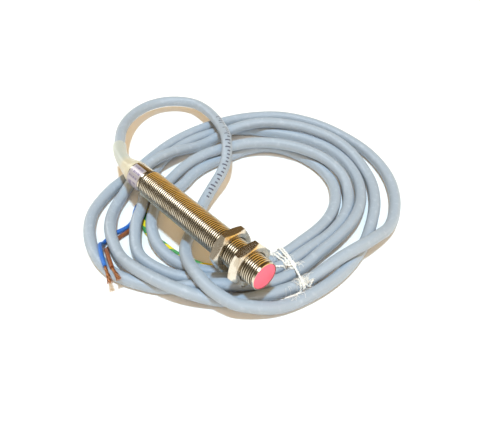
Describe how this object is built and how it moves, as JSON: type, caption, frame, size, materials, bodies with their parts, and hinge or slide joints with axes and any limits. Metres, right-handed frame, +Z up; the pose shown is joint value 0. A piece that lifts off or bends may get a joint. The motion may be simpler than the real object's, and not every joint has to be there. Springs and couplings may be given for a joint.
{
  "type": "proximity sensor",
  "caption": "Cylindrical inductive proximity sensor: threaded metal barrel, pink sensing face, two hexagon lock nuts, and a three-core cable tied in a loose coil.",
  "frame": {"origin": "centre of the sensing face, on the barrel's axis, 17 mm above the surface that the coil lies on", "axes": "+X along the barrel's axis, out of the sensing face; +Z up"},
  "size_m": [0.1499, 0.1452, 0.0261],
  "materials": {
    "nickel_brass": "nickel-plated brass, machined thread, satin bright",
    "nut_brass": "nickel-plated brass, satin",
    "face_plastic": "coral pink moulded plastic, satin",
    "ferrite": "sintered ferrite, dull",
    "bobbin_plastic": "natural plastic",
    "copper": "bare copper",
    "board": "glass-epoxy board with solder mask",
    "component": "moulded component body",
    "ceramic": "epoxy-dipped component",
    "tinned_steel": "tinned sheet",
    "potting_resin": "cast epoxy resin",
    "label_foil": "silver-lilac printed foil, satin",
    "boot_plastic": "translucent cream soft plastic",
    "cable_jacket": "blue-grey PVC, satin",
    "white_string": "white fibrous twine",
    "blue_insulation": "blue PVC",
    "brown_insulation": "brown PVC",
    "green_yellow_insulation": "green PVC with a yellow stripe"
  },
  "bodies": {
    "root": {"barrel": "nickel_brass", "sensing_cap": "face_plastic", "ferrite_core": "ferrite", "coil_bobbin": "bobbin_plastic", "coil_winding": "copper", "circuit_board": "board", "oscillator_chip": "component", "output_thyristor": "component", "bridge_rectifier": "component", "filter_capacitor": "ceramic", "trim_resistor": "ceramic", "varistor": "ceramic", "chip_resistor_1": "component", "chip_resistor_2": "component", "chip_resistor_3": "component", "chip_resistor_4": "component", "earth_tab": "tinned_steel", "potting_plug": "potting_resin", "inner_lead_brown": "brown_insulation", "inner_lead_blue": "blue_insulation", "inner_lead_green_yellow": "green_yellow_insulation", "type_label": "label_foil", "cable_boot": "boot_plastic", "cable_loop": "cable_jacket", "cable_coil": "cable_jacket", "tie_string": "white_string", "core_green_yellow": "green_yellow_insulation", "core_blue": "blue_insulation", "core_brown": "brown_insulation", "copper_end_green_yellow": "copper", "copper_end_blue": "copper", "copper_end_brown": "copper"},
    "front_thread": {"front_nut_thread": "nut_brass"},
    "front_hexagon": {"front_nut": "nut_brass"},
    "rear_thread": {"rear_nut_thread": "nut_brass"},
    "rear_hexagon": {"rear_nut": "nut_brass"}
  },
  "joints": [
    {"name": "front_nut_travel", "type": "slide", "parent": "root", "child": "front_thread", "axis": [1, 0, 0], "range_m": [-0.0031, 0.0065]},
    {"name": "front_nut_turn", "type": "hinge", "parent": "front_thread", "child": "front_hexagon", "pos_m": [-0.0084, 0, 0], "axis": [1, 0, 0], "range_deg": [-1080, 2304]},
    {"name": "rear_nut_travel", "type": "slide", "parent": "root", "child": "rear_thread", "axis": [1, 0, 0], "range_m": [-0.0501, 0.0031]},
    {"name": "rear_nut_turn", "type": "hinge", "parent": "rear_thread", "child": "rear_hexagon", "pos_m": [-0.0187, 0, 0], "axis": [1, 0, 0], "range_deg": [-18000, 1080]}
  ],
  "couplings": [
    {"joint": "front_nut_travel", "follows": "front_nut_turn", "m_per_rad": 0.00015915},
    {"joint": "rear_nut_travel", "follows": "rear_nut_turn", "m_per_rad": 0.00015915}
  ]
}
